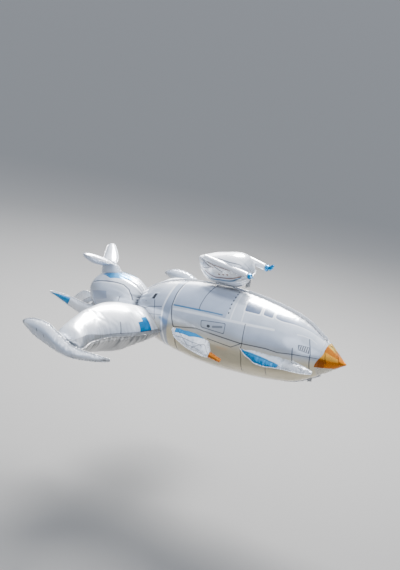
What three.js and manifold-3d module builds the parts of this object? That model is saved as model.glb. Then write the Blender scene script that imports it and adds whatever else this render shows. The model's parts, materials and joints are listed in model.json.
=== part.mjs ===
// A foil balloon in the shape of a spaceship: a long round hull with a pointed nose, a tail pod,
// a pod on its back, two wings with winglets, side fins and two pairs of tail fins.
// Millimetres. X points to the nose, Y to the left, Z up. The origin is on the hull's axis.
import * as THREE from 'three';
import { mergeVertices } from 'three/addons/utils/BufferGeometryUtils.js';
import Module from 'manifold-3d';

const wasm = await Module();
wasm.setup();

const GAP = 0.3;              // clearance where two envelopes touch
const ROUND_SIDES = 32;
const ROD_SIDES = 12;
const WELD = 1e-3;             // points nearer than this are one point
const HULL_STEPS = 2;         // rings for each row of the hull's profile
const POD_STEPS = 2;          // and for each row of the top pod's
const PAD_SIDES = 16;
const SEAM_SHARPNESS = 1.3;   // 1 gives an elliptic pad section, more gives sharper edges
const POD_END = 0.9995;       // how near a pod's first and last ring come to its ends
const SEAM_THICKNESS = 1.2;   // heat-sealed margin, as solid thickness
const DORSAL_SEAM = { rearHeight: 4, frontHeight: 9, direction: 1 };
const BELLY_SEAM = { rearHeight: 5, frontHeight: 5, direction: -1 };

const HULL_REAR_X = -305;
const NOSE_JOINT_X = 336;
const NOSE_TIP_X = 408;

// Hull profile, columns: x, radius, height of the section's centre.
const HULL = [
  [HULL_REAR_X, 51, -9],
  [-270, 76, -7],
  [-210, 102, -2],
  [-120, 121, 2],
  [0, 130.5, 5.5],
  [120, 123.5, 6.5],
  [210, 111, 6],
  [270, 93, 5],
  [NOSE_JOINT_X, 54.5, 5.5],
  [380, 22, 6],
  [NOSE_TIP_X, 1.5, 6],
];

// The tail pod, blunter at its ends than an ellipsoid, and widest at its seam.
const TAIL_POD = {
  centreX: -400, centreZ: -3, halfLength: 105, halfWidth: 75, above: 75, below: 72, bluntness: 2.3, rings: 12,
};
// The pod on the back, columns: x, height of its seam, half width there, height above it and below it.
const TOP_POD = [
  [-137, 202, 6, 2, 8],
  [-122, 205, 27, 7, 39],
  [-98, 207, 43, 15, 64],
  [-68, 208, 55, 26, 71],
  [-30, 207, 61, 39, 68],
  [4, 205, 62, 45, 64.5],
  [28, 201, 55, 41, 51],
  [43, 197, 37, 28, 32],
  [51, 194, 10, 8, 10],
];

// Pads, columns: leading edge x, y, z, trailing edge x, y, z, thickness. Given for the left side.
const WING = {
  normal: [0, 0, 1],
  steps: 2,
  rows: [
    [-184, 30, -38, -352, 30, -32, 44],
    [-182, 100, -44, -384, 96, -42, 100],
    [-214, 190, -48, -398, 180, -44, 146],
    [-262, 280, -49, -396, 270, -46, 132],
    [-274, 360, -50, -386, 344, -48, 108],
    [-266, 412, -53, -376, 396, -48, 90],
    [-274, 450, -54, -358, 446, -48, 8],
  ],
};
const WINGLET = {
  normal: [0, 1, 0],
  steps: 1,
  rows: [
    [-470, 447, -20, -469, 447, -26, 4],
    [-450, 449, -8, -450, 449, -36, 20],
    [-418, 451, 0, -418, 451, -52, 34],
    [-375, 452, -2, -375, 452, -64, 42],
    [-330, 452, -23, -330, 452, -76, 40],
    [-285, 451, -45, -285, 451, -80, 32],
    [-230, 450, -48, -230, 450, -72, 24],
    [-185, 449, -47, -185, 449, -62, 15],
    [-156, 448, -46, -156, 448, -52, 4],
  ],
};
const MID_FIN = {
  normal: [0, 0.77, 0.64],
  steps: 1,
  rows: [
    [-132, 110, -6, -132, 122, -16, 4],
    [-112, 108, -1, -112, 137, -31, 12],
    [-85, 108, 3, -85, 145, -40, 17],
    [-60, 109, 4, -60, 151, -47, 19],
    [-30, 111, 4, -30, 155, -51, 18],
    [-6, 115, -2, -6, 157, -54, 14],
    [8, 132, -23, 8, 157, -54, 11],
    [20, 145, -39, 20, 156, -53, 9],
  ],
};
const MID_FIN_TIP = {
  normal: [0, 0.77, 0.64],
  steps: 1,
  rows: [
    [20.3, 145, -39, 20.3, 156, -53, 9],
    [40, 149, -43, 40, 158, -54, 8],
    [63, 153, -48, 63, 160, -56, 4],
  ],
};
const CANARD = {
  normal: [0, 0.77, 0.64],
  steps: 1,
  rows: [
    [100, 113, 10, 100, 123, 2, 4],
    [124, 109, 7, 124, 128, -17, 12],
    [147, 106, 6, 147, 133, -24, 17],
    [164, 104, 5, 164, 137, -30, 20],
    [194, 99, 4, 194, 138, -31, 20],
    [225, 94, 2, 225, 134, -27, 18],
    [255, 91, -1, 255, 130, -24, 16],
    [285, 99, -3, 285, 128, -22, 13],
    [313, 109, -4, 313, 127, -19, 9],
    [342, 115, -8, 342, 121, -14, 4],
  ],
};
const UPPER_TAIL_FIN = {
  normal: [0, -0.3, 0.95],
  steps: 2,
  rows: [
    [-436, 8, 94, -484, 8, 94, 14],
    [-441, 34, 99, -493, 34, 99, 26],
    [-458, 66, 110, -503, 66, 110, 28],
    [-478, 91, 121, -507, 91, 121, 18],
    [-488, 101, 126, -501, 101, 126, 3],
  ],
};
// The lower fins are swept blades that stand upright; their leading edge is the upper one. The left
// one hangs, so each side has its own rows.
const LOWER_TAIL_FIN = {
  left: {
    normal: [0.43, 0.86, 0.15],
    steps: 2,
    rows: [
      [-480, 6, -48, -484, 6, -92, 14],
      [-527, 22, -37, -518, 26, -82, 20],
      [-565, 46, -46, -546, 50, -90, 18],
    ],
  },
  right: {
    normal: [0.53, 0.86, -0.13],
    steps: 2,
    rows: [
      [-456, 8, -64, -470, 8, -108, 16],
      [-500, 38, -56, -508, 37, -95, 22],
      [-541, 70, -38, -551, 69, -68, 19],
    ],
  },
};
const LOWER_TAIL_TIP = {
  left: {
    normal: [0.43, 0.86, 0.15],
    steps: 2,
    rows: [
      [-565.3, 46.3, -46.2, -546.3, 50.3, -90.2, 18],
      [-591, 55, -66, -575, 58, -102, 12],
      [-608, 60, -88, -604, 61, -98, 3],
    ],
  },
  right: {
    normal: [0.53, 0.86, -0.13],
    steps: 2,
    rows: [
      [-541.3, 70.3, -37.8, -551.3, 69.3, -67.8, 19],
      [-575, 90, -31, -581, 89, -47, 12],
      [-600, 105, -28, -602, 104, -33, 3],
    ],
  },
};
const TAIL_PYLON = {
  normal: [0, 1, 0],
  steps: 1,
  rows: [
    [-396, 0, 58, -478, 0, 44, 38],
    [-408, 0, 76, -480, 0, 72, 32],
    [-422, 0, 90, -482, 0, 90, 20],
    [-436, 0, 98, -474, 0, 98, 5],
  ],
};
const LOWER_TAIL_BASE = {
  normal: [0, 1, 0],
  steps: 1,
  rows: [
    [-446, 0, -42, -502, 0, -32, 42],
    [-450, 0, -62, -524, 0, -54, 42],
    [-458, 0, -80, -540, 0, -74, 34],
    [-470, 0, -90, -530, 0, -90, 5],
  ],
};

// The tubes on the top pod's sides, and the caps and the small fins that end them.
const BARREL = { rearY: 52, frontY: 58, capLength: 12 };
// Where each tube runs, how thick it is and which way its fin points; the right fin is folded out.
const BARREL_RUN = {
  left: { rearX: -22, frontX: 66, rearZ: 229, frontZ: 212, radius: 10.5, finTo: [0.48, 0, 0.88] },
  right: { rearX: -98, frontX: 61, rearZ: 220, frontZ: 203, radius: 9, finTo: [0.36, -0.89, 0.27] },
};
const BARREL_FIN = { length: 9, height: 23, thickness: 3 };
// How far the upper tail fins lean aft for each millimetre outwards.
const UPPER_TAIL_FIN_SWEEP = { left: 0.15, right: 0 };
// Flat filling necks, where the hull and the top pod were inflated and sealed.
const HULL_NECK = { frontX: 310, rearX: 296, topZ: -66, bottomZ: -83, thickness: 1.6 };
const TOP_POD_NECK = { frontX: 50, rearX: 36, topZ: 176, bottomZ: 148, thickness: 1.6 };

const COLOURS = {
  foil: { color: 0xdfe4ea, roughness: 0.32, metalness: 0.25 },
  silver: { color: 0xc9ccd0, roughness: 0.18, metalness: 0.9 },
  blue: { color: 0x1991cd, roughness: 0.35, metalness: 0.2 },
  orange: { color: 0xeb960a, roughness: 0.35, metalness: 0.25 },
};

const balloon = new THREE.Group();

function material(name) {
  return new THREE.MeshStandardMaterial(COLOURS[name]);
}

// A closed skin over rings of equally many points, with a flat fan over each end.
function loft(rings) {
  const sides = rings[0].length;
  const points = rings.flat();
  const index = [];
  for (let ring = 0; ring + 1 < rings.length; ring += 1) {
    for (let side = 0; side < sides; side += 1) {
      const next = (side + 1) % sides;
      const a = ring * sides + side;
      const b = ring * sides + next;
      index.push(a, b, b + sides, a, b + sides, a + sides);
    }
  }
  const ends = [[0, 1], [rings.length - 1, -1]];
  for (const [ring, turn] of ends) {
    const centre = points.length;
    const middle = rings[ring].reduce((sum, p) => sum.add(p), new THREE.Vector3()).divideScalar(sides);
    points.push(middle);
    for (let side = 0; side < sides; side += 1) {
      const a = ring * sides + side;
      const b = ring * sides + ((side + 1) % sides);
      index.push(centre, ...(turn > 0 ? [b, a] : [a, b]));
    }
  }
  return facingOut(new THREE.BufferGeometry().setFromPoints(points).setIndex(index));
}

// Turns every face round where the skin encloses a negative volume.
function facingOut(geometry) {
  const position = geometry.getAttribute('position');
  const index = geometry.getIndex().array;
  const [a, b, c] = [new THREE.Vector3(), new THREE.Vector3(), new THREE.Vector3()];
  let volume = 0;
  for (let i = 0; i < index.length; i += 3) {
    a.fromBufferAttribute(position, index[i]);
    b.fromBufferAttribute(position, index[i + 1]);
    c.fromBufferAttribute(position, index[i + 2]);
    volume += a.dot(b.cross(c));
  }
  if (volume < 0) {
    for (let i = 0; i < index.length; i += 3) [index[i + 1], index[i + 2]] = [index[i + 2], index[i + 1]];
  }
  return geometry;
}

// Rows with more rows between them, on a smooth curve through each column.
function smooth(rows, steps) {
  const out = [];
  for (let i = 0; i + 1 < rows.length; i += 1) {
    const [p0, p1, p2, p3] = [-1, 0, 1, 2].map((k) => rows[Math.min(Math.max(i + k, 0), rows.length - 1)]);
    for (let step = 0; step < steps; step += 1) {
      const t = step / steps;
      out.push(p1.map((_, k) => 0.5 * (
        2 * p1[k] + (p2[k] - p0[k]) * t + (2 * p0[k] - 5 * p1[k] + 4 * p2[k] - p3[k]) * t * t
        + (3 * p1[k] - p0[k] - 3 * p2[k] + p3[k]) * t * t * t)));
    }
  }
  out.push(rows[rows.length - 1]);
  return out;
}

// A ring of points in a plane across X, with its own height above and below its widest line.
function roundRing(x, centreZ, halfWidth, above, below) {
  return Array.from({ length: ROUND_SIDES }, (_, i) => {
    const angle = (i / ROUND_SIDES) * Math.PI * 2;
    const rise = Math.cos(angle);
    return new THREE.Vector3(x, halfWidth * Math.sin(angle), centreZ + rise * (rise > 0 ? above : below));
  });
}

// The hull's profile between two stations, both of them included.
function hullRows(fromX, toX) {
  const rows = smooth(HULL, HULL_STEPS);
  const rowAt = (x) => {
    const next = Math.max(rows.findIndex((row) => row[0] >= x), 1);
    const [before, after] = [rows[next - 1], rows[next]];
    const t = (x - before[0]) / (after[0] - before[0]);
    return before.map((value, k) => THREE.MathUtils.lerp(value, after[k], t));
  };
  return [rowAt(fromX), ...rows.filter(([x]) => x > fromX + 1 && x < toX - 1), rowAt(toX)];
}

function hullGeometry(fromX, toX, grow = 0) {
  const rows = hullRows(fromX, toX);
  return loft(rows.map(([x, radius, centreZ], i) => {
    const end = i === 0 ? -grow : i === rows.length - 1 ? grow : 0;
    return roundRing(x + end, centreZ, radius + grow, radius + grow, radius + grow);
  }));
}

// A round body along X whose ends are blunter than an ellipsoid's.
function tailPodGeometry(grow = 0) {
  const { centreX, centreZ, halfLength, halfWidth, above, below, bluntness, rings } = TAIL_POD;
  return loft(Array.from({ length: rings + 1 }, (_, i) => {
    const along = -Math.cos((i / rings) * Math.PI) * POD_END;
    const size = Math.sqrt(1 - Math.abs(along) ** bluntness);
    const x = centreX + along * (halfLength + grow);
    return roundRing(x, centreZ, halfWidth * size + grow, above * size + grow, below * size + grow);
  }));
}

function topPodGeometry(grow = 0) {
  return loft(smooth(TOP_POD, POD_STEPS).map(([x, z, halfWidth, above, below], i, rows) => {
    const end = i === 0 ? -grow : i === rows.length - 1 ? grow : 0;
    return roundRing(x + end, z, halfWidth + grow, above + grow, below + grow);
  }));
}

// An inflated pad, its two skins meeting at the leading and the trailing edge.
function padGeometry(pad, side, grow = 0) {
  const normal = new THREE.Vector3(...pad.normal).normalize();
  normal.y *= side;
  const rings = smooth(pad.rows, pad.steps).map(([lx, ly, lz, tx, ty, tz, thickness]) => {
    const lead = new THREE.Vector3(lx, ly * side, lz);
    const trail = new THREE.Vector3(tx, ty * side, tz);
    const middle = lead.clone().add(trail).multiplyScalar(0.5);
    const half = lead.clone().sub(middle);
    half.setLength(half.length() + grow);
    return Array.from({ length: PAD_SIDES }, (_, i) => {
      const angle = (i / PAD_SIDES) * Math.PI * 2;
      const rise = Math.sign(Math.sin(angle)) * Math.abs(Math.sin(angle)) ** SEAM_SHARPNESS;
      return middle.clone().addScaledVector(half, Math.cos(angle))
        .addScaledVector(normal, rise * (thickness / 2 + grow));
    });
  });
  return loft(rings);
}

function plateGeometry(lengthX, widthY, heightZ) {
  return new THREE.BoxGeometry(lengthX, widthY, heightZ);
}

// A flat strip that stands on the hull's top (direction 1) or bottom line (direction -1).
// Grown by a margin, it reaches into the hull, so that it can be taken out of a neighbour.
function seamGeometry({ rearHeight, frontHeight, direction }, grow = 0) {
  const rows = hullRows(HULL_REAR_X, NOSE_JOINT_X);
  const edge = (lift) => rows.map(([x, radius, centreZ]) => (
    new THREE.Vector2(x, centreZ + direction * (radius + lift(x)))));
  const height = (x) => THREE.MathUtils.mapLinear(
    x, HULL_REAR_X, NOSE_JOINT_X, rearHeight, frontHeight) + grow;
  const foot = () => (grow > 0 ? -grow : GAP);
  const shape = new THREE.Shape([...edge(foot), ...edge(height).reverse()]);
  const depth = SEAM_THICKNESS + 2 * grow;
  const geometry = new THREE.ExtrudeGeometry(shape, { depth, bevelEnabled: false });
  return geometry.translate(0, 0, -depth / 2).rotateX(Math.PI / 2);
}

// A rod of round section between two points.
function rodGeometry(from, to, radius) {
  const length = from.distanceTo(to);
  const geometry = new THREE.CylinderGeometry(radius, radius, length, ROD_SIDES);
  const turn = new THREE.Quaternion().setFromUnitVectors(
    new THREE.Vector3(0, 1, 0), to.clone().sub(from).normalize());
  const middle = from.clone().add(to).multiplyScalar(0.5);
  return geometry.applyQuaternion(turn).translate(middle.x, middle.y, middle.z);
}

function toSolid(geometry) {
  const bare = (geometry.index ? geometry.toNonIndexed() : geometry.clone());
  bare.deleteAttribute('normal');
  bare.deleteAttribute('uv');
  const merged = mergeVertices(bare, WELD);
  return new wasm.Manifold(new wasm.Mesh({
    numProp: 3,
    vertProperties: merged.getAttribute('position').array,
    triVerts: new Uint32Array(merged.getIndex().array),
  }));
}

function toGeometry(solid) {
  const { vertProperties, triVerts } = solid.getMesh();
  const geometry = new THREE.BufferGeometry();
  geometry.setAttribute('position', new THREE.BufferAttribute(new Float32Array(vertProperties), 3));
  return geometry.setIndex(new THREE.BufferAttribute(new Uint32Array(triVerts), 1));
}

// A piece's geometry with its neighbours' room taken out of it.
function seated(geometry, ...neighbours) {
  return toGeometry(neighbours.reduce((solid, other) => solid.subtract(toSolid(other)), toSolid(geometry)));
}

function add(name, finish, geometry) {
  const shaded = geometry.index ? geometry : mergeVertices(geometry);
  shaded.computeVertexNormals();
  const mesh = new THREE.Mesh(shaded, material(finish));
  mesh.name = name;
  balloon.add(mesh);
}

const SIDES = [['left', 1], ['right', -1]];
const grownHull = hullGeometry(HULL_REAR_X, NOSE_TIP_X, GAP);
const grownTailPod = tailPodGeometry(GAP);
const grownTopPod = topPodGeometry(GAP);
const tailPylon = padGeometry(TAIL_PYLON, 1);
const lowerTailBase = padGeometry(LOWER_TAIL_BASE, 1);

// The hull, its nose and the sealed margins that stand on its top and bottom lines.
function addHull() {
  add('hull', 'foil', hullGeometry(HULL_REAR_X, NOSE_JOINT_X));
  add('nose_cap', 'orange', hullGeometry(NOSE_JOINT_X, NOSE_TIP_X).translate(GAP, 0, 0));
  add('dorsal_seam', 'foil', seated(seamGeometry(DORSAL_SEAM), grownTopPod));
  add('belly_seam', 'foil', seamGeometry(BELLY_SEAM));
}

// The pod on the hull's back.
function addTopPod() {
  const barrels = SIDES.map(([label, side]) => barrelGeometry(label, side, GAP));
  add('top_pod', 'foil', seated(topPodGeometry(), grownHull, ...barrels));
}

// The tail pod, and the two small pads that carry the tail fins.
function addTail() {
  add('tail_pod', 'foil', seated(tailPodGeometry(), grownHull));
  add('tail_pylon', 'foil', seated(tailPylon, grownTailPod));
  add('lower_tail_base', 'silver', seated(lowerTailBase, grownTailPod));
}

function barrelEnds(label, side) {
  const { rearX, frontX, rearZ, frontZ } = BARREL_RUN[label];
  return [
    new THREE.Vector3(rearX, BARREL.rearY * side, rearZ),
    new THREE.Vector3(frontX, BARREL.frontY * side, frontZ),
  ];
}

function barrelGeometry(label, side, grow = 0) {
  return rodGeometry(...barrelEnds(label, side), BARREL_RUN[label].radius + grow);
}

// The long tube on the pod's side with its cap and the small fin on the cap.
function addBarrel(label, side) {
  const [rear, front] = barrelEnds(label, side);
  const forward = front.clone().sub(rear).normalize();
  const { radius, finTo } = BARREL_RUN[label];
  const capStart = front.clone().addScaledVector(forward, GAP);
  const capEnd = capStart.clone().addScaledVector(forward, BARREL.capLength);
  add(`barrel_${label}`, 'foil', barrelGeometry(label, side));
  add(`barrel_cap_${label}`, 'blue', rodGeometry(capStart, capEnd, radius));
  const fin = plateGeometry(BARREL_FIN.length, BARREL_FIN.thickness, BARREL_FIN.height);
  fin.translate(0, 0, BARREL_FIN.height / 2);
  fin.applyQuaternion(new THREE.Quaternion().setFromUnitVectors(
    new THREE.Vector3(0, 0, 1), new THREE.Vector3(...finTo).normalize()));
  fin.translate(capEnd.x, capEnd.y, capEnd.z);
  const capRoom = rodGeometry(capStart, capEnd.clone().addScaledVector(forward, GAP), radius + GAP);
  add(`barrel_fin_${label}`, 'blue', seated(fin, capRoom));
}

// The flat necks through which the hull and the top pod were filled.
function addNecks() {
  for (const [name, neck] of [['hull_neck', HULL_NECK], ['top_pod_neck', TOP_POD_NECK]]) {
    const { frontX, rearX, topZ, bottomZ, thickness } = neck;
    const plate = plateGeometry(frontX - rearX, thickness, topZ - bottomZ);
    plate.translate((frontX + rearX) / 2, 0, (topZ + bottomZ) / 2);
    add(name, 'silver', seated(
      plate, grownHull, grownTopPod, seamGeometry(DORSAL_SEAM, GAP), seamGeometry(BELLY_SEAM, GAP)));
  }
}

// The wing, its winglet and the fins along the hull's side, on one side of the hull.
function addSide(label, side) {
  add(`wing_${label}`, 'foil', seated(
    padGeometry(WING, side), grownHull, grownTailPod, padGeometry(WINGLET, side, GAP)));
  add(`winglet_${label}`, 'foil', padGeometry(WINGLET, side));
  add(`mid_fin_${label}`, 'foil', seated(padGeometry(MID_FIN, side), grownHull));
  add(`mid_fin_tip_${label}`, 'orange', padGeometry(MID_FIN_TIP, side));
  add(`canard_${label}`, 'foil', seated(padGeometry(CANARD, side), grownHull));
}

// A pad moved aft, more so further from the middle.
function swept(pad, sweep) {
  const rows = pad.rows.map(([lx, ly, lz, tx, ty, tz, thickness]) => (
    [lx - sweep * ly, ly, lz, tx - sweep * ty, ty, tz, thickness]));
  return { ...pad, rows };
}

// One fin of each pair at the tail.
function addTailFins(label, side) {
  const pylonRoom = padGeometry(TAIL_PYLON, 1, GAP);
  const baseRoom = padGeometry(LOWER_TAIL_BASE, 1, GAP);
  add(`upper_tail_fin_${label}`, 'foil', seated(
    padGeometry(swept(UPPER_TAIL_FIN, UPPER_TAIL_FIN_SWEEP[label]), side), pylonRoom, grownTailPod));
  add(`lower_tail_fin_${label}`, 'foil', seated(
    padGeometry(LOWER_TAIL_FIN[label], side), baseRoom, grownTailPod));
  add(`lower_tail_tip_${label}`, 'blue', padGeometry(LOWER_TAIL_TIP[label], side));
}

addHull();
addTopPod();
addTail();
addNecks();
for (const [label, side] of SIDES) {
  addBarrel(label, side);
  addSide(label, side);
  addTailFins(label, side);
}

export default balloon;
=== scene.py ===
"""A foil balloon in the shape of a spaceship: its printed film, seams, puckers and light.

Metres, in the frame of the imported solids: X to the nose, Y to the balloon's left, Z up.
Angles around the hull and the pods start at the top line.
"""
import json
from collections import namedtuple
from math import cos, pi, sin, sqrt

import bpy
import numpy as np
from mathutils import Matrix, Vector

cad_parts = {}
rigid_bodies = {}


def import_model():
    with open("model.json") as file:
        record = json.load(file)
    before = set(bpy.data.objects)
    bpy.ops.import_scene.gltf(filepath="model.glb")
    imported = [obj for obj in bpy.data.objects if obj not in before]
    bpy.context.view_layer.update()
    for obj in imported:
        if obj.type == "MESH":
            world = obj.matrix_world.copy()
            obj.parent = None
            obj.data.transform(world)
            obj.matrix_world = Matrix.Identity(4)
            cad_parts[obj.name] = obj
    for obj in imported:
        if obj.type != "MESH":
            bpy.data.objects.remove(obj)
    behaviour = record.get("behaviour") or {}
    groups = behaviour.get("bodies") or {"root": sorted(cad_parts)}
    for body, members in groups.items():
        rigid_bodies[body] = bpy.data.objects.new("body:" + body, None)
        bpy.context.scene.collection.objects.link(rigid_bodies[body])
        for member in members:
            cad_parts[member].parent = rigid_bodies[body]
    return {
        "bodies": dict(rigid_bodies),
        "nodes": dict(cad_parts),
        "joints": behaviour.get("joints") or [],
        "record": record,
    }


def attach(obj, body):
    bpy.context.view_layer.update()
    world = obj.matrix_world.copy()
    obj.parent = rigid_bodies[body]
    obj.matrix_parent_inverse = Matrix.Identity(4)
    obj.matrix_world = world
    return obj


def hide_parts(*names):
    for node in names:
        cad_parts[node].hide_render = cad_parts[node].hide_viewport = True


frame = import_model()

MM = 0.001
DEGREE = pi / 180
SIDES = (("left", 1), ("right", -1))

# The photograph's view: how the balloon is held in front of a nearly level camera.
PHOTO_PX = (400, 570)
FOCAL_PX = 1200
SENSOR_MM = 36
HELD_YAW, HELD_PITCH, HELD_ROLL = 25 * DEGREE, 15 * DEGREE, 8.5 * DEGREE
CAMERA_DOWN = 1.96 * DEGREE
DISTANCE = 3.8
ORIGIN_PX = (227.0, 328.4)

FLOOR_Z = -0.6
FLOOR_RADIUS = 300
FLOOR_GREY = (0.165, 0.163, 0.16, 1)
# Each lamp's place, size, watts and colour.
LAMPS = {
    "above": ((-0.6, 1.6, 2.1), 1.5, 470, (1, 0.99, 0.97)),
    "fill": ((2.0, -3.0, 2.0), 3.4, 50, (0.95, 0.97, 1)),
    "behind": ((-1.6, 2.6, 1.2), 1.6, 50, (1, 0.98, 0.95)),
}
# The studio around the balloon, from straight below to straight above.
STUDIO = [
    (0.0, (0.34, 0.36, 0.38, 1)), (0.06, (0.31, 0.36, 0.44, 1)), (0.35, (0.40, 0.47, 0.60, 1)),
    (0.68, (1.0, 1.08, 1.2, 1)), (1.0, (1.2, 1.27, 1.38, 1)),
]
STUDIO_STRENGTH = 1.5

# Millimetres: x, radius, height of the centre, for the hull and its nose.
HULL_ROWS = [
    (-305, 51, -9), (-270, 76, -7), (-210, 102, -2), (-120, 121, 2), (0, 130.5, 5.5),
    (120, 123.5, 6.5), (210, 111, 6), (270, 93, 5), (336, 54.5, 5.5), (380, 22, 6), (408, 1.5, 6),
]
WAIST_X = -0.305
NOSE_X = 0.336
NOSE_GAP = 0.0003
HULL_RINGS, HULL_SIDES, NOSE_RINGS, POD_SIDES = 300, 192, 40, 160
# Each turns an angle around its piece into a length on its print.
HULL_PRINT_RADIUS = 0.12
POD_PRINT_RADIUS = 0.075
TOP_PRINT_RADIUS = 0.06
FLANGE_THICKNESS = 0.0009
FLANGE_FOOT = 0.0012       # how deep a margin starts inside the hull
FLANGE_UNDER_POD = 0.0028
# Which way each seam's margin stands, and its height at the waist and at the nose.
SEAM_HEIGHTS = (("dorsal_seam", 1, (0.004, 0.009)), ("belly_seam", -1, (0.005, 0.005)))
RIBS = {"Pitch": 0.0026, "Length": 0.0036, "Width": 0.0011, "Depth": 0.0022}
RIB_RISE = 0.0028
# Creases are darkened in colour as painted shade: a crease this deep gets the full painted shade, which
# takes away this share of its colour.
CREASE_DEPTH = 0.005       # a crease so deep counts as full for its colour
CREASE_SHADE = 0.45        # how much of its colour a full crease loses
COAT_ROUGHNESS = 0.08
TOP_POD_SPAN = (-0.135, 0.052)
TOP_SEAM_Z = 0.205
FRILL_FROM = 0.027
FRILL_INSIDE, FRILL_HEIGHT = 0.0075, 0.0105

TAIL_POD = {"centre_x": -0.400, "centre_z": -0.003, "half_length": 0.105, "radius": 0.075,
            "above": 0.075, "below": 0.072, "bluntness": 2.3, "front_x": -0.3056}
# Millimetres: x, height of the seam, half width there, height above it, depth below it.
TOP_POD_ROWS = [
    (-137, 202, 6, 2, 8), (-122, 205, 27, 7, 39), (-98, 207, 43, 15, 64), (-68, 208, 55, 26, 71),
    (-30, 207, 61, 39, 68), (4, 205, 62, 45, 64.5), (28, 201, 55, 41, 51), (43, 197, 37, 28, 32),
    (51, 194, 10, 8, 10),
]
# Millimetres, left side: leading edge x, y, z, trailing edge x, y, z, thickness.
WING_ROWS = [
    (-184, 30, -38, -352, 30, -32, 44), (-182, 100, -44, -384, 96, -42, 100),
    (-214, 190, -48, -398, 180, -44, 146), (-262, 280, -49, -396, 270, -46, 132),
    (-274, 360, -50, -386, 344, -48, 108), (-266, 412, -53, -376, 396, -48, 90),
    (-270, 431, -54, -366, 421, -48, 49),
]
WINGLET_ROWS = [
    (-470, 447, -20, -469, 447, -26, 4), (-450, 449, -8, -450, 449, -36, 20),
    (-418, 451, 0, -418, 451, -52, 34), (-375, 452, -2, -375, 452, -64, 42),
    (-330, 452, -23, -330, 452, -76, 40), (-285, 451, -45, -285, 451, -80, 32),
    (-230, 450, -48, -230, 450, -72, 24), (-185, 449, -47, -185, 449, -62, 15),
    (-156, 448, -46, -156, 448, -52, 4),
]
MID_FIN_ROWS = [
    (-132, 110, -6, -132, 122, -16, 4), (-112, 108, -1, -112, 137, -31, 12),
    (-85, 108, 3, -85, 145, -40, 17),
    (-60, 109, 4, -60, 151, -47, 19), (-30, 111, 4, -30, 155, -51, 18),
    (-6, 115, -2, -6, 157, -54, 14),
    (8, 132, -23, 8, 157, -54, 11), (20, 145, -39, 20, 156, -53, 9),
]
MID_FIN_TIP_ROWS = [
    (20.3, 145, -39, 20.3, 156, -53, 9), (40, 149, -43, 40, 158, -54, 8), (63, 153, -48, 63, 160, -56, 4),
]
CANARD_ROWS = [
    (100, 113, 10, 100, 123, 2, 4), (124, 109, 7, 124, 128, -17, 12), (147, 106, 6, 147, 133, -24, 17),
    (164, 104, 5, 164, 137, -30, 20), (194, 99, 4, 194, 138, -31, 20), (225, 94, 2, 225, 134, -27, 18),
    (255, 91, -1, 255, 130, -24, 16), (285, 99, -3, 285, 128, -22, 13), (313, 109, -4, 313, 127, -19, 9),
    (342, 115, -8, 342, 121, -14, 4),
]
UPPER_FIN_ROWS = [
    (-436, 8, 94, -484, 8, 94, 14), (-441, 34, 99, -493, 34, 99, 26), (-458, 66, 110, -503, 66, 110, 28),
    (-478, 91, 121, -507, 91, 121, 18), (-488, 101, 126, -501, 101, 126, 3),
]
# The lower tail fins' leading edge is the upper one. The left fin hangs.
LOWER_FIN_NORMALS = {"left": (0.43, 0.86, 0.15), "right": (0.53, 0.86, -0.13)}
LOWER_FIN_ROWS = {
    "left": [(-480, 6, -48, -484, 6, -92, 14), (-527, 22, -37, -518, 26, -82, 20),
             (-565, 46, -46, -546, 50, -90, 18)],
    "right": [(-456, 8, -64, -470, 8, -108, 16), (-500, 38, -56, -508, 37, -95, 22),
              (-541, 70, -38, -551, 69, -68, 19)],
}
LOWER_TIP_ROWS = {
    "left": [(-565.3, 46.3, -46.2, -546.3, 50.3, -90.2, 18), (-591, 55, -66, -575, 58, -102, 12),
             (-608, 60, -88, -604, 61, -98, 3)],
    "right": [(-541.3, 70.3, -37.8, -551.3, 69.3, -67.8, 19), (-575, 90, -31, -581, 89, -47, 12),
              (-600, 105, -28, -602, 104, -33, 3)],
}
PYLON_ROWS = [
    (-396, 0, 66, -478, 0, 50, 38), (-408, 0, 76, -480, 0, 72, 32), (-422, 0, 90, -482, 0, 90, 20),
    (-436, 0, 98, -474, 0, 98, 5),
]
LOWER_BASE_ROWS = [
    (-446, 0, -50, -502, 0, -40, 42), (-450, 0, -62, -524, 0, -54, 42), (-458, 0, -80, -540, 0, -74, 34),
    (-470, 0, -90, -530, 0, -90, 5),
]
# How far the upper tail fins lean aft, for each metre outwards.
UPPER_FIN_SWEEP = {"left": 0.15, "right": 0.0}
SIDE_NORMAL = (0, 0.77, 0.64)
TAIL_FIN_NORMAL = (0, -0.3, 0.95)
SEAM_SHARPNESS = 1.3
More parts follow.
